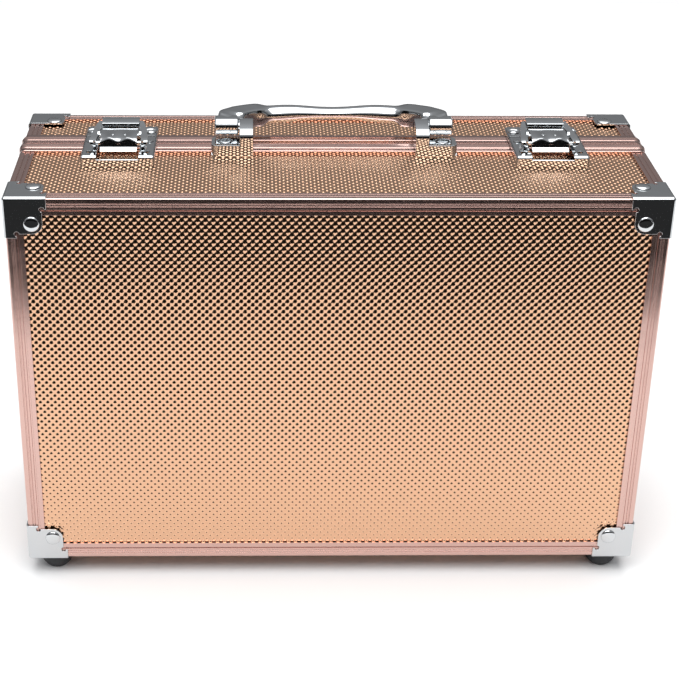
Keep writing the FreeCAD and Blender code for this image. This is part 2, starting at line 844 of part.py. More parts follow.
def claw(centre):
    t = latch_sheet
    hook_in = strike_hook_back + claw_hook_gap
    hook_out = hook_in + t
    front = claw_bridge_front
    peak = claw_bridge_peak
    low = claw_bridge_low
    high = claw_bridge_top
    drop = claw_shoulder_drop
    bend = high - drop - claw_shoulder
    bridge_half = claw_outer - claw_bridge_step
    bridge = latch_prism(centre, -bridge_half, bridge_half, [
        (front, low), (peak, high), (hook_out - claw_shoulder, high - drop), (hook_out, bend),
        (hook_out, claw_hook_bottom), (hook_in, claw_hook_bottom), (hook_in, bend - drop),
        (hook_in - claw_shoulder + drop, high - t - drop), (peak, high - t), (front, low - t)])
    parts = [bridge]
    for side in sides.values():
        inner = side * claw_inner
        outer = side * claw_wall_outer
        strip = latch_box(centre, inner, side * claw_outer, arm_front, arm_back, arm_top - t, arm_top)
        wall_back = arm_front + arm_wall_length
        wall = latch_box(centre, inner, outer, arm_front, wall_back, lever_wall_bottom, arm_top)
        riser = latch_box(centre, inner, outer, front + t, arm_back, arm_top - t, high - t)
        parts += [strip, wall, riser]
    whole = fuse_all(parts)
    bore = latch_pin_radius + running_clearance
    return whole.cut(latch_rod(centre, bore, -claw_outer, claw_outer, claw_pivot_v, claw_pivot_height))


def build_latches():
    for name, centre in latch_centres.items():
        save("latch_plate_" + name, latch_plate(centre))
        save("strike_plate_" + name, strike_plate(centre))
        save("latch_lever_" + name, lever(centre))
        save("latch_claw_" + name, claw(centre))
        save("claw_pin_" + name, claw_pin(centre))
    save("lever_pins", *[lever_pin(centre) for centre in latch_centres.values()])


def main():
    os.makedirs("parts", exist_ok=True)
    body = rounded_body(0)
    skin = rounded_body(cap_wall).cut(body)
    for name in shells:
        build_shell(name, skin, body)
    build_hinges()
    build_handle()
    build_latches()


main()
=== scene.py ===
import bpy
import bmesh
import math
from mathutils import Matrix, Vector


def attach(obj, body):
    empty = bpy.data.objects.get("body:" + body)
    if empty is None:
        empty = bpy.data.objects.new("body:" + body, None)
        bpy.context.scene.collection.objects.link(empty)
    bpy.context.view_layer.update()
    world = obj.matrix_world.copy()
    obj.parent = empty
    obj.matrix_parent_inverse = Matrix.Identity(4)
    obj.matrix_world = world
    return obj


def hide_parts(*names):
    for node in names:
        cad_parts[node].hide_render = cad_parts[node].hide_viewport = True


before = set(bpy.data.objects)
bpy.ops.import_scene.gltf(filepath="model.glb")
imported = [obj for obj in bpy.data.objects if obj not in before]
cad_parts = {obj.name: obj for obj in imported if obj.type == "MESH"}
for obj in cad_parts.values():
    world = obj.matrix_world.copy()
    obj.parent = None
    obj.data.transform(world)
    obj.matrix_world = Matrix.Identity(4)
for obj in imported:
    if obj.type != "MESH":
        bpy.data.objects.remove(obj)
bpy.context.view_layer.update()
mm = 0.001

# the closed case, in millimetres
case = {"halfWidth": 170.0, "parting": 15.0, "bottom": 12.0, "top": 230.0}
# each shell: its face along Y, the way inward, its depth
shells = {"base": (-64.0, 1, 79.0), "lid": (64.0, -1, 49.0)}


# small helpers

def solo(obj):
    bpy.ops.object.select_all(action='DESELECT')
    obj.select_set(True)
    bpy.context.view_layer.objects.active = obj


def bake(obj):
    solo(obj)
    bpy.ops.object.transform_apply(location=True, rotation=True, scale=True)


def addBox(name, low, high):
    bpy.ops.object.select_all(action='DESELECT')
    middle = [(a + b) / 2 * mm for a, b in zip(low, high)]
    size = [(b - a) * mm for a, b in zip(low, high)]
    bpy.ops.mesh.primitive_cube_add(size=1, location=middle, scale=size)
    obj = bpy.context.object
    obj.name = name
    bake(obj)
    return obj


def addRod(name, radius, low, high, axis="z", sides=32):
    bpy.ops.object.select_all(action='DESELECT')
    middle = [(a + b) / 2 * mm for a, b in zip(low, high)]
    length = (Vector(high) - Vector(low)).length * mm
    turn = {"x": (0, math.pi / 2, 0), "y": (math.pi / 2, 0, 0), "z": (0, 0, 0)}[axis]
    bpy.ops.mesh.primitive_cylinder_add(vertices=sides, radius=radius * mm, depth=length,
                                        location=middle, rotation=turn)
    obj = bpy.context.object
    obj.name = name
    bake(obj)
    return obj


def enter(obj, kind='FACE'):
    solo(obj)
    bpy.ops.object.mode_set(mode='EDIT')
    bpy.ops.mesh.select_mode(type=kind)
    bpy.ops.mesh.select_all(action='DESELECT')


def leave():
    bpy.ops.object.mode_set(mode='OBJECT')


def pickFaces(obj, test):
    bpy.ops.mesh.select_mode(type='FACE')
    bpy.ops.mesh.select_all(action='DESELECT')
    bm = bmesh.from_edit_mesh(obj.data)
    for f in bm.faces:
        f.select_set(bool(test(f.calc_center_median() / mm, f.normal)))
    bmesh.update_edit_mesh(obj.data)


def pickEdges(obj, test):
    bpy.ops.mesh.select_mode(type='EDGE')
    bpy.ops.mesh.select_all(action='DESELECT')
    bm = bmesh.from_edit_mesh(obj.data)
    for e in bm.edges:
        if test(e.verts[0].co / mm, e.verts[1].co / mm):
            e.select_set(True)
    bmesh.update_edit_mesh(obj.data)


def pickVerts(obj, test):
    bpy.ops.mesh.select_mode(type='VERT')
    bpy.ops.mesh.select_all(action='DESELECT')
    bm = bmesh.from_edit_mesh(obj.data)
    for v in bm.verts:
        if test(v.co / mm):
            v.select_set(True)
    bmesh.update_edit_mesh(obj.data)


def shift(x, y, z):
    bpy.ops.transform.translate(value=(x * mm, y * mm, z * mm))


def sliceAt(axis, places):
    normal = {"x": (1, 0, 0), "y": (0, 1, 0), "z": (0, 0, 1)}[axis]
    for p in places:
        bpy.ops.mesh.select_all(action='SELECT')
        bpy.ops.mesh.bisect(plane_co=tuple(n * p * mm for n in normal), plane_no=normal, threshold=1e-7)


def roundEdges(radius, segments=4):
    bpy.ops.mesh.bevel(offset=radius * mm, segments=segments, profile=0.5, affect='EDGES')


def tidyNormals(obj):
    solo(obj)
    bpy.ops.object.mode_set(mode='EDIT')
    bpy.ops.mesh.select_all(action='SELECT')
    bpy.ops.mesh.normals_make_consistent(inside=False)
    bpy.ops.object.mode_set(mode='OBJECT')


def faceUp(obj):
    tidyNormals(obj)
    if sum(f.normal.z for f in obj.data.polygons) < 0:
        enter(obj)
        bpy.ops.mesh.select_all(action='SELECT')
        bpy.ops.mesh.flip_normals()
        leave()


def soften(obj, width, segments=2, angle=35):
    solo(obj)
    m = obj.modifiers.new("softEdge", 'BEVEL')
    m.width = width * mm
    m.segments = segments
    m.limit_method = 'ANGLE'
    m.angle_limit = math.radians(angle)
    bpy.ops.object.modifier_apply(modifier=m.name)


def thicken(obj, wall):
    solo(obj)
    m = obj.modifiers.new("wall", 'SOLIDIFY')
    m.thickness = wall * mm
    m.use_even_offset = True
    bpy.ops.object.modifier_apply(modifier=m.name)


def carve(obj, tool, how='DIFFERENCE'):
    solo(obj)
    m = obj.modifiers.new("carve", 'BOOLEAN')
    m.operation = how
    m.solver = 'EXACT'
    m.object = tool
    bpy.ops.object.modifier_apply(modifier=m.name)
    bpy.data.objects.remove(tool, do_unlink=True)


def copyOf(obj, name):
    twin = obj.copy()
    twin.data = obj.data.copy()
    twin.name = name
    bpy.context.collection.objects.link(twin)
    return twin


def place(obj, turns, at):
    # turns is a list of (axis letter, degrees), done in order
    m = Matrix.Identity(4)
    for axis, degrees in turns:
        m = Matrix.Rotation(math.radians(degrees), 4, axis) @ m
    obj.matrix_world = Matrix.Translation(Vector(at) * mm) @ m
    bake(obj)
    return obj


def mirrorX(obj):
    obj.scale = (-1, 1, 1)
    bake(obj)
    tidyNormals(obj)
    return obj


def joinAll(objs, name):
    bpy.ops.object.select_all(action='DESELECT')
    for o in objs:
        o.select_set(True)
    bpy.context.view_layer.objects.active = objs[0]
    if len(objs) > 1:
        bpy.ops.object.join()
    objs[0].name = name
    return objs[0]


def dropTemplate(*objs):
    for o in objs:
        bpy.data.objects.remove(o, do_unlink=True)


def finishPiece(obj, material, body, nodes, slotName, angle=35):
    solo(obj)
    bpy.ops.object.shade_smooth_by_angle(angle=math.radians(angle))
    if slotName != "embossed_panel":
        # large flat faces stay flat beside their rounded edges
        m = obj.modifiers.new("flatFaces", 'WEIGHTED_NORMAL')
        m.keep_sharp = True
        bpy.ops.object.modifier_apply(modifier=m.name)
    obj.data.materials.clear()
    obj.data.materials.append(material)
    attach(obj, body)
    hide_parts(*nodes)


# materials

def toLinear(hexText):
    parts = [int(hexText[i:i + 2], 16) / 255 for i in (1, 3, 5)]
    return tuple(p / 12.92 if p <= 0.04045 else ((p + 0.055) / 1.055) ** 2.4 for p in parts) + (1.0,)


def addNode(tree, kind, **values):
    node = tree.nodes.new(kind)
    for key, value in values.items():
        if key in node.inputs:
            node.inputs[key].default_value = value
        else:
            setattr(node, key, value)
    return node


def newMaterial(name, colour, metallic, roughness):
    m = bpy.data.materials.new(name)
    m.use_nodes = True
    shader = m.node_tree.nodes["Principled BSDF"]
    shader.inputs["Base Color"].default_value = toLinear(colour)
    shader.inputs["Metallic"].default_value = metallic
    shader.inputs["Roughness"].default_value = roughness
    return m, m.node_tree, shader


def mottle(tree, shader, socket, sizeMm, low, high):
    # a soft noise that moves one value between low and high
    where = addNode(tree, "ShaderNodeTexCoord")
    noise = addNode(tree, "ShaderNodeTexNoise", Scale=1000.0 / sizeMm, Detail=3.0)
    spread = addNode(tree, "ShaderNodeMapRange")
    spread.inputs["From Min"].default_value = 0.3
    spread.inputs["From Max"].default_value = 0.7
    spread.inputs["To Min"].default_value = low
    spread.inputs["To Max"].default_value = high
    tree.links.new(where.outputs["Object"], noise.inputs["Vector"])
    tree.links.new(noise.outputs["Fac"], spread.inputs["Value"])
    tree.links.new(spread.outputs["Result"], shader.inputs[socket])
    return where


def ripple(tree, shader, where, sizeMm, heightMm):
    # shallow relief, sized in millimetres
    noise = addNode(tree, "ShaderNodeTexNoise", Scale=1000.0 / sizeMm, Detail=2.0)
    bump = addNode(tree, "ShaderNodeBump", Strength=1.0, Distance=heightMm * mm)
    tree.links.new(where.outputs["Object"], noise.inputs["Vector"])
    tree.links.new(noise.outputs["Fac"], bump.inputs["Height"])
    tree.links.new(bump.outputs["Normal"], shader.inputs["Normal"])


def embossedSheetMaterial():
    # rose gold anodised aluminium sheet: a bright tinted mirror, each pressed pad carries its own highlight
    m, tree, shader = newMaterial("Anodised aluminium sheet, rose gold", "#DDB191", 1.0, 0.09)
    where = mottle(tree, shader, "Roughness", 9.0, 0.07, 0.11)
    ripple(tree, shader, where, 1.5, 0.004)
    return m


def extrusionMaterial():
    # pink anodised extrusion: drawn along its length, soft streaks in the reflection
    m, tree, shader = newMaterial("Anodised aluminium extrusion, pink", "#CDABA2", 1.0, 0.18)
    where = mottle(tree, shader, "Roughness", 14.0, 0.15, 0.21)
    ripple(tree, shader, where, 6.0, 0.01)
    return m


def chromeMaterial():
    # bright chrome plate over pressed steel: a sharp mirror with the slight waves of the pressing
    m, tree, shader = newMaterial("Chrome plated pressed steel", "#C6C9CB", 1.0, 0.06)
    where = mottle(tree, shader, "Roughness", 6.0, 0.05, 0.09)
    ripple(tree, shader, where, 7.0, 0.05)
    return m


def castMaterial():
    # chrome plate over zinc casting: a smoother, rounder mirror
    m, tree, shader = newMaterial("Chrome plated zinc casting", "#CBCED0", 1.0, 0.05)
    where = mottle(tree, shader, "Roughness", 8.0, 0.04, 0.07)
    ripple(tree, shader, where, 12.0, 0.03)
    return m


def zincMaterial():
    # zinc plated steel of hinges and screws: greyer and softer than the chrome
    m, tree, shader = newMaterial("Zinc plated steel", "#B4B6B8", 1.0, 0.3)
    where = mottle(tree, shader, "Roughness", 3.0, 0.24, 0.38)
    ripple(tree, shader, where, 1.5, 0.01)
    return m


def rubberMaterial():
    # moulded black rubber: dark, with a wide soft sheen
    m, tree, shader = newMaterial("Moulded rubber, black", "#16181B", 0.0, 0.5)
    shader.inputs["IOR"].default_value = 1.52
    where = mottle(tree, shader, "Roughness", 2.0, 0.42, 0.58)
    ripple(tree, shader, where, 0.8, 0.02)
    return m


def liningMaterial():
    # flocked foam lining: matt black with a faint fibre sheen
    m, tree, shader = newMaterial("Flocked foam lining, black", "#17171A", 0.0, 0.9)
    shader.inputs["IOR"].default_value = 1.5
    shader.inputs["Sheen Weight"].default_value = 0.35
    shader.inputs["Sheen Roughness"].default_value = 0.4
    where = mottle(tree, shader, "Roughness", 1.2, 0.82, 0.98)
    ripple(tree, shader, where, 0.6, 0.05)
    return m


sheetMetal = embossedSheetMaterial()
extrusion = extrusionMaterial()
chrome = chromeMaterial()
castChrome = castMaterial()
zinc = zincMaterial()
rubber = rubberMaterial()
flock = liningMaterial()
print("materials ready")


# embossed wall sheets

sheetLook = {
    "pitch": 4.01, "cells": 6, "across": 82,
    # pad heights from its middle outward, one cell at a time
    "crown": 0.66, "near": 0.46, "diagonal": 0.32, "far": 0.15,
    "thick": 1.2, "inset": 1.4, "endGap": 10.0, "faceGap": 4.0, "rimGap": 9.0, "weld": 0.02, "angle": 50,
}


def makeSheet(width, height):
    # one tile holds a whole pad in the middle and a quarter pad at each corner
    look = sheetLook
    pitch, cells = look["pitch"], look["cells"]
    step = pitch / cells
    mid = cells // 2
    bpy.ops.object.select_all(action='DESELECT')
    bpy.ops.mesh.primitive_grid_add(x_subdivisions=cells, y_subdivisions=cells, size=pitch * mm)
    obj = bpy.context.object
    obj.name = "sheetModel"
    enter(obj, 'VERT')
    crowns = [(mid, mid), (0, 0), (cells, 0), (0, cells), (cells, cells)]
    around = {
        "crown": [(0, 0)],
        "near": [(1, 0), (-1, 0), (0, 1), (0, -1)],
        "diagonal": [(1, 1), (-1, 1), (1, -1), (-1, -1)],
        "far": [(2, 0), (-2, 0), (0, 2), (0, -2)],
    }
    for ring, steps in around.items():
        spots = [(a + i, b + j) for a, b in crowns for i, j in steps]
        pickVerts(obj, lambda co: (round(co.x / step) + mid, round(co.y / step) + mid) in spots)
        shift(0, 0, look[ring])
    leave()
    across = max(1, round(width / pitch))
    along = max(1, round(height / pitch))
    for count, axis in ((across, 0), (along, 1)):
        m = obj.modifiers.new("repeat", 'ARRAY')
        m.count = count
        m.use_relative_offset = False
        m.use_constant_offset = True
        m.constant_offset_displace = [pitch * mm if axis == i else 0 for i in range(3)]
        m.use_merge_vertices = True
        m.merge_threshold = look["weld"] * mm
        solo(obj)
        bpy.ops.object.modifier_apply(modifier=m.name)
    obj.location = (-(across - 1) * pitch / 2 * mm, -(along - 1) * pitch / 2 * mm, 0)
    bake(obj)
    obj.scale = (width / (across * pitch), height / (along * pitch), 1)
    bake(obj)
    enter(obj, 'EDGE')
    bpy.ops.mesh.select_non_manifold(extend=False)
    bpy.ops.mesh.extrude_region_move(TRANSFORM_OT_translate={"value": (0, 0, -look["thick"] * mm)})
    bpy.ops.mesh.edge_face_add()
    leave()
    return obj


def buildSheets():
    c, look = case, sheetLook
    flat = look["inset"]
    side = c["halfWidth"] - flat
    tall = c["top"] - c["bottom"] - look["endGap"]
    wide = look["across"] * look["pitch"]
    middle = (c["top"] + c["bottom"]) / 2
    for shell, (face, inward, depth) in shells.items():
        facing = [("X", 90), ("Z", 0 if inward > 0 else 180)]
        deep = depth - look["rimGap"] - look["faceGap"]
        y = face + inward * (look["faceGap"] + deep / 2)
        halfFace, endSheet, sideSheet = makeSheet(wide / 2, tall), makeSheet(wide, deep), makeSheet(deep, tall)
        for model, name, panel, turns, at in (
            (halfFace, "face_sheet_left", "face_panel", facing, (-wide / 4, face + inward * flat, middle)),
            (halfFace, "face_sheet_right", "face_panel", facing, (wide / 4, face + inward * flat, middle)),
            (endSheet, "top_sheet", "top_panel", [], (0, y, c["top"] - flat)),
            (endSheet, "bottom_sheet", "bottom_panel", [("X", 180)], (0, y, c["bottom"] + flat)),
            (sideSheet, "right_sheet", "right_panel", [("X", 90), ("Z", 90)], (side, y, middle)),
            (sideSheet, "left_sheet", "left_panel", [("X", 90), ("Z", -90)], (-side, y, middle)),
        ):
            sheet = place(copyOf(model, f"{shell}_{name}"), turns, at)
            finishPiece(sheet, sheetMetal, shell, [f"{shell}_{panel}"], "embossed_panel", look["angle"])
        dropTemplate(halfFace, endSheet, sideSheet)


buildSheets()
print("embossed sheets ready")


# edge extrusions

railLook = {
    "wall": 1.0, "round": 2.3, "slope": 0.12, "softEdge": 0.12, "faceWidth": 9.3, "topWidth": 8.0,
    # grooves along the bar: from, to, depth
    "faceGrooves": [(2.7, 3.4, 0.35), (4.1, 4.6, 0.3), (5.8, 6.9, 0.55)],
    "topGrooves": [(3.0, 3.5, 0.3), (5.6, 6.3, 0.4)],
    "longTrim": 3.0, "shortTrim": 16.0, "faceGap": 4.0, "rimWidth": 12.0,
}


def makeRail(name, length, faceWidth, faceGrooves):
    # the outer corner runs along X at the origin, one flange hangs down and one goes to +Y
    look = railLook
    w = look["wall"]
    topWidth = look["topWidth"]
    bar = addBox(name, (-length / 2, 0, -faceWidth), (length / 2, w, 0))
    enter(bar)
    sliceAt("z", [-w])
    pickFaces(bar, lambda c, n: n.y > 0.9 and c.z > -w)
    bpy.ops.mesh.extrude_region_move(TRANSFORM_OT_translate={"value": (0, (topWidth - w) * mm, 0)})
    pickEdges(bar, lambda a, b: max(abs(a.y), abs(b.y), abs(a.z), abs(b.z)) < 0.01)
    roundEdges(look["round"], 5)
    s = look["slope"]
    for g0, g1, depth in faceGrooves:
        sliceAt("z", [-g0, -g0 - s, -g1 + s, -g1])
        pickFaces(bar, lambda c, n: n.y < -0.9 and -g1 + s * 0.9 < c.z < -g0 - s * 0.9)
        shift(0, depth, 0)
    for g0, g1, depth in look["topGrooves"]:
        sliceAt("y", [g0, g0 + s, g1 - s, g1])
        pickFaces(bar, lambda c, n: n.z > 0.9 and g0 + s * 0.9 < c.y < g1 - s * 0.9)
        shift(0, 0, -depth)
    leave()
    soften(bar, look["softEdge"], 2)
    return bar


def buildRails():
    c, look = case, railLook
    middle = (c["top"] + c["bottom"]) / 2
    for shell, (face, inward, depth) in shells.items():
        spin = ("Z", 0 if inward > 0 else 180)
        wide, grooves = look["faceWidth"], look["faceGrooves"]
        long = makeRail("longRail", 2 * c["halfWidth"] - look["longTrim"], wide, grooves)
        short = makeRail("shortRail", c["top"] - c["bottom"] - look["shortTrim"], wide, grooves)
        for model, side, turns, at in (
            (long, "top", [spin], (0, face, c["top"])),
            (long, "bottom", [("Y", 180), spin], (0, face, c["bottom"])),
            (short, "left", [spin, ("Y", -90)], (-c["halfWidth"], face, middle)),
            (short, "right", [spin, ("Y", 90)], (c["halfWidth"], face, middle)),
        ):
            rail = place(copyOf(model, f"{shell}_rail_{side}"), turns, at)
            finishPiece(rail, extrusion, shell, [f"{shell}_face_rail_{side}"], "edge_extrusion")
        run = depth - look["rimWidth"] - look["faceGap"]
        y = face + inward * (look["faceGap"] + run / 2)
        edge = makeRail("edgeRail", run, look["topWidth"], look["topGrooves"])
        four = []
        for side, turn in ((-1, -90), (1, 90)):
            x = side * c["halfWidth"]
            four.append(place(copyOf(edge, "e"), [("Z", turn)], (x, y, c["top"])))
            four.append(place(copyOf(edge, "e"), [("Y", 180), ("Z", turn)], (x, y, c["bottom"])))
        edges = joinAll(four, shell + "_edge_rail_set")
        finishPiece(edges, extrusion, shell, [shell + "_edge_rails"], "edge_extrusion")
        dropTemplate(long, short, edge)


buildRails()
print("rails ready")


# rims where the shells meet

rimLook = {
    "proud": 0.5, "round": 4.0, "wall": 3.9, "softEdge": 0.08,
    "reach": {"base": (3.0, 14.8), "lid": (15.2, 27.0)},
    # lines along the extrusion: place along Y, extra height
    "base": [(3.2, 0.3), (5.6, 0.3), (5.9, -0.5), (7.1, -0.5), (7.5, 0.3), (8.2, 0.55), (11.4, 1.1), (12.0, 1.05),
             (12.3, 0.1), (13.0, 0.1), (13.2, 0.85), (14.68, 0.85)],
    "lid": [(15.32, 0.85), (17.8, 0.85), (18.0, 0.1), (18.7, 0.1), (19.0, 0.6), (22.4, 1.15), (23.0, 0.9),
            (26.2, 0.8), (26.6, 0.3)],
    "tongueWall": 1.2, "tongueLength": 2.2, "tongueRoot": 0.6, "tongueInset": 0.6, "tongueRound": 3.0,
    "tongueStart": 14.0, "tongueGap": 0.4, "hingeX": 95.0, "hingeHalf": 18.5, "hingeLow": 5.0,
}


def makeTube(name, y0, y1, proud, radius):
    c = case
    tube = addBox(name, (-c["halfWidth"] - proud, y0, c["bottom"] - proud), (c["halfWidth"] + proud, y1, c["top"] + proud))
    enter(tube)
    pickFaces(tube, lambda p, n: abs(n.y) > 0.9)
    bpy.ops.mesh.delete(type='FACE')
    pickEdges(tube, lambda a, b: abs(a.y - b.y) > 0.5)
    roundEdges(radius, 6)
    leave()
    return tube


def makeTongue(name, grow):
    look, c = rimLook, case
    root = c["parting"] + look["tongueRoot"]
    tip = c["parting"] - look["tongueLength"] - grow
    tube = makeTube(name, tip, root, grow - look["tongueInset"], look["tongueRound"])
    thicken(tube, look["tongueWall"] + 2 * grow)
    carve(tube, addBox("below", (-200, 0, 0), (200, 30, c["bottom"] + look["tongueStart"] - grow)))
    return tube


def makeRim(name, shell):
    look, c = rimLook, case
    y0, y1 = look["reach"][shell]
    rim = makeTube(name, y0, y1, look["proud"], look["round"])
    tidyNormals(rim)
    thicken(rim, look["wall"])
    middle = (c["top"] + c["bottom"]) / 2
    sideways = c["halfWidth"] + look["proud"]
    upward = c["top"] + look["proud"] - middle
    skin = look["wall"] / 2
    enter(rim, 'VERT')
    sliceAt("y", [y for y, rise in look[shell]])
    for y, rise in look[shell]:
        pickVerts(rim, lambda co: abs(co.y - y) < 0.01
                  and (abs(co.x) > sideways - skin or abs(co.z - middle) > upward - skin))
        grow = (1 + rise / sideways, 1, 1 + rise / upward)
        bpy.ops.transform.resize(value=grow, center_override=(0, 0, middle * mm))
    leave()
    tidyNormals(rim)
    soften(rim, look["softEdge"], 2, 30)
    for x in (-look["hingeX"], look["hingeX"]):
        w = look["hingeHalf"]
        carve(rim, addBox("notch", (x - w, 0, look["hingeLow"]), (x + w, 30, c["bottom"])))
    if shell == "base":
        carve(rim, makeTongue("groove", look["tongueGap"]))
    else:
        carve(rim, makeTongue("tongue", 0.0), 'UNION')
    finishPiece(rim, extrusion, shell, [shell + "_rim"], "edge_extrusion", 30)


makeRim("base_rim_band", "base")
makeRim("lid_rim_band", "lid")
print("rims ready")


# corner caps

capLook = {
    "wall": 0.9, "arm": 21.5, "lidArm": 17.0, "armWidth": 5.8, "inset": 13.6, "lobe": 5.6, "notch": 1.3,
    "round": 1.7, "softEdge": 0.42, "cutIn": 1.4, "cutOut": 2.5, "cutPast": 5.0,
}


def outlineCutter(plane, armA, armB):
    # what is taken away from one face of a cap: a block, less the arms and the lobe, a runs first, b second
    look = capLook
    spot = {
        "xz": lambda a, b, h: (a, -h, -b),
        "yz": lambda a, b, h: (-h, a, -b),
        "xy": lambda a, b, h: (a, b, h),
    }[plane]
    axis = {"xz": "y", "yz": "x", "xy": "z"}[plane]
    deep, out = look["cutIn"], look["cutOut"]

    def block(name, a0, a1, b0, b1):
        p, q = spot(a0, b0, -deep), spot(a1, b1, out)
        return addBox(name, [min(i, j) for i, j in zip(p, q)], [max(i, j) for i, j in zip(p, q)])

    def rod(name, a, b, r):
        return addRod(name, r, spot(a, b, -deep - 1), spot(a, b, out + 1), axis, 40)
    w, i, r, past = look["armWidth"], look["inset"], look["lobe"], look["cutPast"]
    tool = block("tool", w, armA + past, w, armB + past)
    carve(tool, block("keep", 0, i, 0, i + r))
    carve(tool, block("keep", 0, i + r, 0, i))
    carve(tool, rod("lobe", i, i, r))
    carve(tool, rod("notch", i + r, w, look["notch"]), 'UNION')
    carve(tool, rod("notch", w, i + r, look["notch"]), 'UNION')
    return tool


def makeCap(name, depthArm):
    # the corner point is at the origin; the cap spreads to +X, +Y and -Z
    look = capLook
    w = look["wall"]
    cap = addBox(name, (-w, -w, -look["arm"]), (look["arm"], depthArm, w))
    enter(cap)
    pickFaces(cap, lambda p, n: n.x > 0.9 or n.y > 0.9 or n.z < -0.9)
    bpy.ops.mesh.delete(type='FACE')
    pickEdges(cap, lambda a, b: sum((a.x < 0 and b.x < 0, a.y < 0 and b.y < 0, a.z > 0 and b.z > 0)) > 1)
    roundEdges(look["round"], 5)
    leave()
    thicken(cap, w)
    carve(cap, outlineCutter("xz", look["arm"], look["arm"]))
    carve(cap, outlineCutter("yz", depthArm, look["arm"]))
    carve(cap, outlineCutter("xy", look["arm"], depthArm))
    soften(cap, look["softEdge"], 3, 40)
    return cap


def buildCaps():
    c = case
    for shell, (face, inward, depth) in shells.items():
        model = makeCap("capModel", capLook["arm"] if shell == "base" else capLook["lidArm"])
        for sideName, side in (("left", -1), ("right", 1)):
            for endName, end in (("top", 1), ("bottom", -1)):
                cap = copyOf(model, f"{shell}_cap_{endName}_{sideName}")
                cap.scale = (-side, inward, end)
                cap.location = Vector((side * c["halfWidth"], face, c[endName])) * mm
                bake(cap)
                tidyNormals(cap)
                finishPiece(cap, chrome, shell, [f"{shell}_corner_{endName}_{sideName}"], "chrome_hardware", 30)
        dropTemplate(model)


buildCaps()
print("caps ready")


# corner rivets

rivetLook = {"radius": 4.1, "height": 1.25, "seat": 0.9, "inset": 13.6, "collar": 0.25, "sunk": 0.4}


def makeDome(name, radius, height, sides=28):
    # a low head: a short upright edge, then steps that follow a ball
    collar = rivetLook["collar"]
    obj = addRod(name, radius, (0, 0, -rivetLook["sunk"]), (0, 0, collar), "z", sides)
    enter(obj)
    pickFaces(obj, lambda p, n: n.z > 0.9)
    last, lastZ = 1.0, collar
    for k in range(1, 7):
        angle = k * 15
        now = max(math.cos(math.radians(angle)) ** 0.7, 0.04)
        z = collar + (height - collar) * math.sin(math.radians(angle))
        bpy.ops.mesh.extrude_region_move(TRANSFORM_OT_translate={"value": (0, 0, (z - lastZ) * mm)})
        bpy.ops.transform.resize(value=(now / last, now / last, 1))
        last, lastZ = now, z
    leave()
    return obj


def buildRivets():
    c = case
    look = rivetLook
    head = makeDome("headModel", look["radius"], look["height"])
    i, s = look["inset"], look["seat"]
    for shell, (face, inward, depth) in shells.items():
        heads = []
        y = face + inward * i
        for side in (-1, 1):
            x = side * (c["halfWidth"] - i)
            for end, zEnd in ((1, c["top"]), (-1, c["bottom"])):
                z = zEnd - end * i
                heads.append(place(copyOf(head, "h"), [("X", 90 * inward)], (x, face - inward * s, z)))
                heads.append(place(copyOf(head, "h"), [("Y", 90 * side)], (side * (c["halfWidth"] + s), y, z)))
                if end > 0:
                    heads.append(place(copyOf(head, "h"), [], (x, y, zEnd + s)))
        rivets = joinAll(heads, shell + "_cap_rivets")
        finishPiece(rivets, castChrome, shell, [shell + "_corner_rivets"], "chrome_hardware", 60)
    dropTemplate(head)


buildRivets()
print("rivets ready")


# toggle latches

latchLook = {
    "x": 116.0, "half": 19.75, "sheet": 1.2, "edge": 1.6, "top": 234.7, "low": 228.7, "softEdge": 0.25,
    "plateY": (-16, 14.5), "strikeY": (15.5, 32),
    # what is cut out of the plate, as two corners
    "window": ((-11.2, -12.6, 225), (11.2, 13, 240)),
    "overRim": ((-25, 2.8, 225), (25, 20, 231.6)),
    "mouth": ((-11.2, -17, 232.6), (11.2, -12, 240)),
    "slotX": 15.4, "slotY": -9.2, "slotRadius": 1.5,
    "lugX": 11.15, "lugHalf": 0.6, "lugY": (4.0, 10.0), "lugZ": (233.6, 240.8), "lugRound": 2.4,
    "eyeletX": 15.8, "eyeletY": 7.5, "eyeletZ": (234.4, 235.3), "eyeletRadius": 2.5,
    "strikeOverRim": ((-25, 10, 225), (25, 27.2, 231.6)),
    "hook": ((-8.5, 19.5, 234.2), (8.5, 20.7, 239.3)), "hookBend": 238.1, "hookReach": 3.9,
    "ringX": 15.8, "ringY": 23.0, "ringZ": (234.4, 235.1), "ringRadius": 3.4, "ringWall": 0.7, "ringDip": 0.5,
}


def makeTray(name, low, high, radius, wall, openEnd):
    # a pressed sheet with rounded shoulders and walls that go down
    tray = addBox(name, low, high)
    enter(tray)
    pickFaces(tray, lambda p, n: n.z < -0.9 or (openEnd == "+y" and n.y > 0.9)
              or (openEnd == "-y" and n.y < -0.9))
    bpy.ops.mesh.delete(type='FACE')
    outer = high[2]
    ends = {"+y": high[1], "-y": low[1]}[openEnd]
    pickEdges(tray, lambda a, b: (abs(a.z - b.z) > 0.5 or (abs(a.z - outer) < 0.01 and abs(b.z - outer) < 0.01))
              and not (abs(a.y - ends) < 0.01 and abs(b.y - ends) < 0.01))
    roundEdges(radius, 4)
    leave()
    thicken(tray, wall)
    return tray


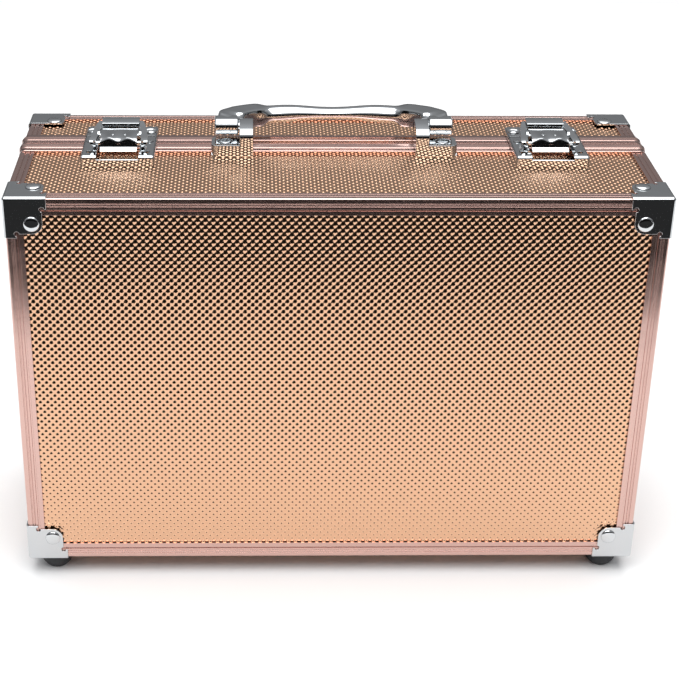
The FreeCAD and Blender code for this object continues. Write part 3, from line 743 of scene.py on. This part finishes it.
def makeLatchPlate():
    k = latchLook
    near, far = k["plateY"]
    low, high = (-k["half"], near, k["low"]), (k["half"], far, k["top"])
    plate = makeTray("plateModel", low, high, k["edge"], k["sheet"], "+y")
    for name in ("window", "overRim", "mouth"):
        carve(plate, addBox(name, *k[name]))
    for side in (-1, 1):
        x, y = side * k["slotX"], k["slotY"]
        carve(plate, addRod("slot", k["slotRadius"], (x, y, 230), (x, y, 240), "z", 20))
    soften(plate, k["softEdge"], 2, 40)
    lugs = []
    (y0, y1), (z0, z1), half = k["lugY"], k["lugZ"], k["lugHalf"]
    for side in (-1, 1):
        x = side * k["lugX"]
        lug = addBox("lug", (x - half, y0, z0), (x + half, y1, z1))
        enter(lug, 'EDGE')
        pickEdges(lug, lambda a, b: abs(a.x - b.x) > 0.5 and a.z > 240)
        roundEdges(k["lugRound"], 5)
        leave()
        lugs.append(lug)
        x, y = side * k["eyeletX"], k["eyeletY"]
        eyelet = addRod("eyelet", k["eyeletRadius"], (x, y, k["eyeletZ"][0]), (x, y, k["eyeletZ"][1]), "z", 24)
        soften(eyelet, 0.3, 2, 40)
        lugs.append(eyelet)
    return joinAll([plate] + lugs, "plateModel")


def makeStrike():
    k = latchLook
    near, far = k["strikeY"]
    low, high = (-k["half"], near, k["low"]), (k["half"], far, k["top"])
    strike = makeTray("strikeModel", low, high, k["edge"], k["sheet"], "-y")
    carve(strike, addBox("overRim", *k["strikeOverRim"]))
    soften(strike, k["softEdge"], 2, 40)
    hook = addBox("hook", *k["hook"])
    enter(hook)
    sliceAt("z", [k["hookBend"]])
    pickFaces(hook, lambda p, n: n.y > 0.9 and p.z > k["hookBend"])
    bpy.ops.mesh.extrude_region_move(TRANSFORM_OT_translate={"value": (0, k["hookReach"] * mm, 0)})
    leave()
    soften(hook, 0.3, 2, 40)
    rings = []
    for side in (-1, 1):
        x, y = side * k["ringX"], k["ringY"]
        ring = addRod("ring", k["ringRadius"], (x, y, k["ringZ"][0]), (x, y, k["ringZ"][1]), "z", 28)
        enter(ring)
        pickFaces(ring, lambda p, n: n.z > 0.9)
        bpy.ops.mesh.inset(thickness=k["ringWall"] * mm)
        shift(0, 0, -k["ringDip"])
        leave()
        soften(ring, 0.12, 2, 40)
        rings.append(ring)
    return joinAll([strike, hook] + rings, "strikeModel")


leverLook = {
    "half": 9.9, "sheet": 1.0, "softEdge": 0.22,
    # profile from the back edge to the finger lip: y, z
    "profile": [(11.9, 240.5), (4.0, 240.5), (-1.4, 240.1), (-3.6, 239.3), (-4.4, 238.9), (-4.7, 238.3),
                (-4.8, 237.4), (-4.9, 236.0), (-5.4, 235.3), (-6.8, 234.8), (-7.5, 234.2)],
    # height of the flutes, and the share of it that each profile point takes
    "wave": 1.4, "waveShare": {2: 0.5, 3: 1.0, 4: 1.1, 5: 1.0, 6: 0.6}, "waveLean": 0.4,
    "wallHalf": 0.6, "wallY": (-2.6, 11.0), "wallZ": (235.4, 239.8),
    "dimple": (3.2, 1.4, 240.45), "dimpleRadius": 0.9, "dimpleHeight": 0.45,
}


def makeLever():
    k = leverLook
    prof = k["profile"]
    bpy.ops.object.select_all(action='DESELECT')
    bpy.ops.mesh.primitive_grid_add(x_subdivisions=24, y_subdivisions=1, size=2 * mm, location=(0, 0, 0))
    obj = bpy.context.object
    obj.name = "leverModel"
    obj.scale = (k["half"], (prof[0][0] - prof[1][0]) / 2, 1)
    obj.location = (0, (prof[0][0] + prof[1][0]) / 2 * mm, prof[0][1] * mm)
    bake(obj)
    enter(obj, 'EDGE')
    pickEdges(obj, lambda a, b: abs(a.y - prof[1][0]) < 0.01 and abs(b.y - prof[1][0]) < 0.01)
    for before, now in zip(prof[1:], prof[2:]):
        step = (0, (now[0] - before[0]) * mm, (now[1] - before[1]) * mm)
        bpy.ops.mesh.extrude_region_move(TRANSFORM_OT_translate={"value": step})
    leave()
    # two finger flutes across the lip
    for j in range(25):
        x = -k["half"] + j * k["half"] / 12
        lift = k["wave"] * (0.5 - 0.5 * math.cos(4 * math.pi * (x / k["half"] + 1) / 2))
        enter(obj, 'VERT')
        for n, share in k["waveShare"].items():
            y, z = prof[n]
            pickVerts(obj, lambda co: abs(co.x - x) < 0.1 and abs(co.y - y) < 0.01 and abs(co.z - z) < 0.01)
            shift(0, lift * share * k["waveLean"], lift * share)
        leave()
    faceUp(obj)
    thicken(obj, k["sheet"])
    soften(obj, k["softEdge"], 2, 50)
    parts = [obj]
    (y0, y1), (z0, z1), half = k["wallY"], k["wallZ"], k["wallHalf"]
    for side in (-1, 1):
        x = side * (k["half"] - half)
        parts.append(addBox("wall", (x - half, y0, z0), (x + half, y1, z1)))
        dimple = makeDome("dimple", k["dimpleRadius"], k["dimpleHeight"], 16)
        x, y, z = k["dimple"]
        parts.append(place(dimple, [], (side * x, y, z)))
    return joinAll(parts, "leverModel")


clawLook = {
    "sheet": 1.1, "softEdge": 0.28, "start": 0.2,
    # hump over the strike, from the dark gap behind the lever to the hook: y, z, half width
    "hump": [(14.3, 238.6, 9.9), (14.3, 241.6, 9.9), (14.8, 242.3, 10.0), (17.0, 242.8, 10.2),
             (21.4, 243.0, 10.2), (23.8, 242.7, 9.8), (25.2, 241.7, 9.3), (25.8, 240.0, 8.9), (25.8, 236.6, 8.9)],
    # arms from the hump down to the claw pin: y, z, centre, half width
    "arm": [(20.5, 241.6, 10.6, 1.7), (16.0, 241.0, 11.6, 1.8), (10.0, 240.2, 12.6, 1.9), (2.0, 239.6, 13.4, 2.0),
            (-3.2, 239.2, 13.9, 2.0), (-4.6, 238.4, 13.8, 1.8), (-5.0, 236.9, 13.4, 1.4)],
    "innerX": 12.85, "innerHalf": 0.6, "innerY": (-5.0, 10.0), "innerZ": (235.3, 239.0), "innerRound": 1.6,
    "curlX": (12.3, 14.0), "curlY": -2.5, "curlZ": 237.2, "curlRadius": 1.9,
}


def makeStrip(name, rows, sheet):
    # a bent strip of sheet drawn row by row: y, z, centre x, half width
    y, z, x, half = rows[0]
    bpy.ops.object.select_all(action='DESELECT')
    bpy.ops.mesh.primitive_plane_add(size=2 * mm, location=(0, 0, 0))
    obj = bpy.context.object
    obj.name = name
    obj.scale = (half, clawLook["start"], 1)
    obj.location = (x * mm, (y + clawLook["start"]) * mm, z * mm)
    bake(obj)
    enter(obj, 'EDGE')
    pickEdges(obj, lambda a, b: abs(a.y - y) < 0.01 and abs(b.y - y) < 0.01)
    for before, now in zip(rows, rows[1:]):
        step = [(now[i] - before[i]) * mm for i in (2, 0, 1)]
        bpy.ops.mesh.extrude_region_move(TRANSFORM_OT_translate={"value": step})
        centre = (now[2] * mm, now[0] * mm, now[1] * mm)
        bpy.ops.transform.resize(value=(now[3] / before[3], 1, 1), center_override=centre)
    leave()
    faceUp(obj)
    thicken(obj, sheet)
    soften(obj, clawLook["softEdge"], 3, 50)
    return obj


def makeClaw():
    k = clawLook
    parts = [makeStrip("hump", [(y, z, 0, half) for y, z, half in k["hump"]], k["sheet"])]
    (y0, y1), (z0, z1), thick = k["innerY"], k["innerZ"], k["innerHalf"]
    for side in (-1, 1):
        parts.append(makeStrip("arm", [(y, z, side * x, half) for y, z, x, half in k["arm"]], k["sheet"]))
        middle = side * k["innerX"]
        inner = addBox("inner", (middle - thick, y0, z0), (middle + thick, y1, z1))
        enter(inner, 'EDGE')
        pickEdges(inner, lambda a, b: abs(a.x - b.x) > 0.5 and a.z < 236)
        roundEdges(k["innerRound"], 4)
        leave()
        ends = [(side * x, k["curlY"], k["curlZ"]) for x in k["curlX"]]
        curl = addRod("curl", k["curlRadius"], ends[0], ends[1], "x", 24)
        soften(curl, 0.3, 2, 40)
        parts += [inner, curl]
    return joinAll(parts, "clawModel")


def buildLatches():
    plate, strike, lever, claw = makeLatchPlate(), makeStrike(), makeLever(), makeClaw()
    for side, x in (("left", -latchLook["x"]), ("right", latchLook["x"])):
        for model, name, body, node in (
            (plate, "latch_base_", "base", "latch_plate_"),
            (strike, "latch_keeper_", "lid", "strike_plate_"),
            (lever, "latch_flap_", "latch_lever_" + side, "latch_lever_"),
            (claw, "latch_hook_", "latch_claw_" + side, "latch_claw_"),
        ):
            piece = place(copyOf(model, name + side), [], (x, 0, 0))
            finishPiece(piece, chrome, body, [node + side], "chrome_hardware")
    dropTemplate(plate, strike, lever, claw)


buildLatches()
print("latches ready")


# carrying handle

gripLook = {
    # half of the centre line from the middle to the knuckle: x, y, z, width, thickness
    "line": [(0, 35.2, 241.3, 10.2, 6.6), (7, 35.3, 241.3, 10.4, 6.8), (14, 35.6, 241.3, 11.2, 7.8),
             (21, 35.7, 241.0, 12.4, 9.6), (28, 35.4, 240.8, 13.0, 10.2), (36, 34.4, 240.7, 12.8, 10.0),
             (44, 32.4, 240.8, 12.6, 9.6), (50.6, 29.0, 240.9, 13.4, 9.6), (55.2, 24.0, 240.9, 14.6, 9.9),
             (57.6, 18.8, 240.9, 15.6, 10.2), (58.3, 14.6, 240.9, 15.6, 10.2)],
    "aim": (58.4, 10.0, 240.9), "start": 0.5, "crease": 0.55, "weld": 0.6,
    "height": 240.9, "inner": 51.8, "outer": 64.8,
    "knuckleY": (9.6, 22.0), "knuckleHalf": 4.6, "knuckleRound": 4.2, "knuckleSoft": 1.1,
}


def makeBail():
    # one end face is pushed along the line; the last point looks at the pivot
    line = gripLook["line"]
    y0, z0, w0, t0 = line[0][1:]
    bail = addBox("bail", (-gripLook["start"], y0 - w0 / 2, z0 - t0 / 2), (0, y0 + w0 / 2, z0 + t0 / 2))
    enter(bail)
    pickFaces(bail, lambda p, n: n.x < -0.9)
    bpy.ops.mesh.delete(type='FACE')
    pickFaces(bail, lambda p, n: n.x > 0.9)
    heading = 0.0
    targets = line[1:] + [gripLook["aim"]]
    for k in range(1, len(line)):
        before, now, after = line[k - 1], line[k], targets[k]
        step = [(now[i] - before[i]) * mm for i in range(3)]
        bpy.ops.mesh.extrude_region_move(TRANSFORM_OT_translate={"value": step})
        centre = tuple(v * mm for v in now[:3])
        bpy.ops.transform.rotate(value=heading, orient_axis='Z', center_override=centre)
        bpy.ops.transform.resize(value=(1, now[3] / before[3], now[4] / before[4]), center_override=centre)
        heading = math.atan2(after[1] - before[1], after[0] - before[0])
        bpy.ops.transform.rotate(value=-heading, orient_axis='Z', center_override=centre)
    # only the long edges of the arms stay crisp
    pickEdges(bail, lambda a, b: (a.x > 40 or b.x > 40) and (a - b).length > 2
              and abs(a.z - b.z) < 0.8 and abs(a.x - b.x) > 2)
    bpy.ops.transform.edge_crease(value=gripLook["crease"])
    leave()
    return bail


def buildHandle():
    k = gripLook
    h = k["height"]
    bail = makeBail()
    solo(bail)
    m = bail.modifiers.new("otherHalf", 'MIRROR')
    m.use_clip = True
    m.merge_threshold = k["weld"] * mm
    bpy.ops.object.modifier_apply(modifier=m.name)
    tidyNormals(bail)
    solo(bail)
    m = bail.modifiers.new("smooth", 'SUBSURF')
    m.levels = 3
    bpy.ops.object.modifier_apply(modifier=m.name)
    parts = [bail]
    (y0, y1), half = k["knuckleY"], k["knuckleHalf"]
    for side in (-1, 1):
        x0, x1 = sorted((side * k["inner"], side * k["outer"]))
        knuckle = addBox("knuckle", (x0, y0, h - half), (x1, y1, h + half))
        enter(knuckle, 'EDGE')
        pickEdges(knuckle, lambda a, b: abs(a.x - b.x) > 5)
        roundEdges(k["knuckleRound"], 8)
        leave()
        soften(knuckle, k["knuckleSoft"], 4, 60)
        parts.append(knuckle)
    grip = joinAll(parts, "carry_grip")
    finishPiece(grip, castChrome, "handle", ["handle_grip"], "chrome_hardware", 50)


bracketLook = {
    "front": -1.3, "low": 228.7, "slope": 8.0, "nose": 3.6, "shoulder": 4.0,
    "earX": (43.8, 51.2), "earBack": 18.6, "earTop": 242.7, "pivotTop": 245.0, "earSoft": 0.6,
    "earCuts": [((40, 2.8, 220), (55, 14.6, 231.6)), ((40, 14.5, 220), (55, 30, 232.4))],
    "footX": (50.6, 66.5), "footBack": 13.3, "footTop": 235.3, "footRound": 3.6, "footSoft": 0.4,
    "footCut": ((45, 2.8, 220), (70, 20, 231.6)), "recess": 4.1, "recessAt": (59, 6), "recessZ": (234.2, 240),
}


def buildBrackets():
    k = bracketLook
    ear = addBox("earModel", (k["earX"][0], k["front"], k["low"]), (k["earX"][1], k["earBack"], k["earTop"]))
    enter(ear)
    sliceAt("y", [k["slope"]])
    leave()
    for low, high in k["earCuts"]:
        carve(ear, addBox("clear", low, high))
    enter(ear, 'VERT')
    pickVerts(ear, lambda co: co.z > k["earTop"] - 0.1 and co.y > k["slope"] - 0.1)
    shift(0, 0, k["pivotTop"] - k["earTop"])
    pickEdges(ear, lambda a, b: abs(a.x - b.x) > 5 and a.z > 244 and a.y > 18)
    roundEdges(k["shoulder"], 6)
    pickEdges(ear, lambda a, b: abs(a.x - b.x) > 5 and a.z > 241 and a.y < 0)
    roundEdges(k["nose"], 7)
    leave()
    soften(ear, k["earSoft"], 3, 30)
    foot = addBox("foot", (k["footX"][0], k["front"], k["low"]), (k["footX"][1], k["footBack"], k["footTop"]))
    carve(foot, addBox("clear", *k["footCut"]))
    enter(foot, 'EDGE')
    pickEdges(foot, lambda a, b: abs(a.z - b.z) > 0.5 and a.x > 66)
    roundEdges(k["footRound"], 6)
    leave()
    x, y = k["recessAt"]
    carve(foot, addRod("recess", k["recess"], (x, y, k["recessZ"][0]), (x, y, k["recessZ"][1]), "z", 32))
    soften(foot, k["footSoft"], 2, 30)
    right = joinAll([ear, foot], "grip_bracket_right")
    left = mirrorX(copyOf(right, "grip_bracket_left"))
    for piece, side in ((right, "right"), (left, "left")):
        finishPiece(piece, castChrome, "base", ["handle_bracket_" + side], "chrome_hardware", 30)


buildHandle()
buildBrackets()
print("handle ready")


# CAD nodes that are shown as they are

keptNodes = {
    rubber: ["base_feet", "lid_feet"],
    zinc: ["base_foot_screws", "lid_foot_screws", "base_hinge_leaves", "lid_hinge_leaves", "hinge_pins"],
    chrome: ["base_small_rivets", "lid_small_rivets", "handle_bracket_screws", "handle_pins",
             "claw_pin_left", "claw_pin_right", "lever_pins"],
    flock: ["base_lining", "lid_lining"],
}
for material, names in keptNodes.items():
    for name in names:
        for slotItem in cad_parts[name].material_slots:
            slotItem.material = material


# studio

studio = {
    "floor": 12.0, "floorTone": "#F4F4F4",
    # black cloth that only shows in reflections: one flat before the case, one standing behind the camera
    "cardTone": "#0A0A0A", "front": -0.40, "cardHalf": (2.0, 1.0), "flagAt": (0, -2400, 1410),
    # height of the sky direction and its tone; it starts black at the horizon and ends white overhead
    "sky": [(0.0, 0.08), (0.45, 0.33), (0.55, 0.36), (0.75, 0.6)],
    # softboxes: place, what they point at, size, power
    "key_box": ((-0.2, -1.0, 1.6), (0, 0, 0.15), (1.8, 0.8), 18),
    "top_box": ((0.1, 0.25, 2.0), (0, 0.25, 0.1), (2.4, 1.7), 30),
}


def buildStudio():
    bpy.ops.object.select_all(action='DESELECT')
    bpy.ops.mesh.primitive_plane_add(size=studio["floor"], location=(0, 2, 0))
    floor = bpy.context.object
    floor.name = "floor"
    bake(floor)
    paint = newMaterial("Matt studio paper, white", studio["floorTone"], 0.0, 0.9)[0]
    floor.data.materials.append(paint)
    across, deep = studio["cardHalf"]
    bpy.ops.mesh.primitive_plane_add(size=2.0, location=(0, studio["front"] - deep, 0.002))
    card = bpy.context.object
    card.name = "dark_card"
    card.scale = (across, deep, 1)
    bake(card)
    upright = place(copyOf(card, "dark_flag"), [("X", 90)], studio["flagAt"])
    ink = newMaterial("Black flag cloth", studio["cardTone"], 0.0, 1.0)[0]
    for cloth in (card, upright):
        cloth.data.materials.append(ink)
        cloth.visible_camera = False
        cloth.visible_diffuse = False
        cloth.visible_shadow = False


def addSoftbox(name):
    at, aim, size, power = studio[name]
    light = bpy.data.lights.new(name, 'AREA')
    light.shape = 'RECTANGLE'
    light.size, light.size_y = size
    light.energy = power
    obj = bpy.data.objects.new(name, light)
    bpy.context.collection.objects.link(obj)
    obj.location = at
    obj.rotation_euler = (Vector(aim) - Vector(at)).to_track_quat('-Z', 'Y').to_euler()


def buildWorld():
    world = bpy.data.worlds.new("Studio air")
    bpy.context.scene.world = world
    world.use_nodes = True
    tree = world.node_tree
    back = tree.nodes["Background"]
    where = addNode(tree, "ShaderNodeTexCoord")
    parts = addNode(tree, "ShaderNodeSeparateXYZ")
    ramp = addNode(tree, "ShaderNodeValToRGB")
    tree.links.new(where.outputs["Generated"], parts.inputs[0])
    tree.links.new(parts.outputs["Z"], ramp.inputs["Fac"])
    tree.links.new(ramp.outputs["Color"], back.inputs["Color"])
    for spot, tone in studio["sky"]:
        stop = ramp.color_ramp.elements.new(spot)
        stop.color = (tone, tone * 1.01, tone * 1.04, 1)
    back.inputs["Strength"].default_value = 1.0


cameraLook = {
    "lens": 84.57, "shiftX": 0.0878, "at": (-0.0443, -0.8130, 0.5337), "down": 27.11, "turn": 1.105, "roll": 0.456,
}


def buildCamera():
    k = cameraLook
    lens = bpy.data.cameras.new("camera")
    lens.lens = k["lens"]
    lens.sensor_width = 36
    lens.shift_x = k["shiftX"]
    lens.clip_start = 0.01
    cam = bpy.data.objects.new("camera", lens)
    bpy.context.collection.objects.link(cam)
    down, turn, roll = (math.radians(k[n]) for n in ("down", "turn", "roll"))
    forward = Vector((math.sin(turn) * math.cos(down), math.cos(turn) * math.cos(down), -math.sin(down)))
    right = Vector((math.cos(turn), -math.sin(turn), 0))
    up = right.cross(forward)
    x = right * math.cos(roll) + up * math.sin(roll)
    y = up * math.cos(roll) - right * math.sin(roll)
    rows = Matrix((x, y, -forward)).transposed().to_4x4()
    cam.matrix_world = Matrix.Translation(k["at"]) @ rows
    bpy.context.scene.camera = cam


buildStudio()
buildWorld()
addSoftbox("key_box")
addSoftbox("top_box")
buildCamera()
bpy.context.scene.view_settings.view_transform = 'Standard'
print("studio ready")
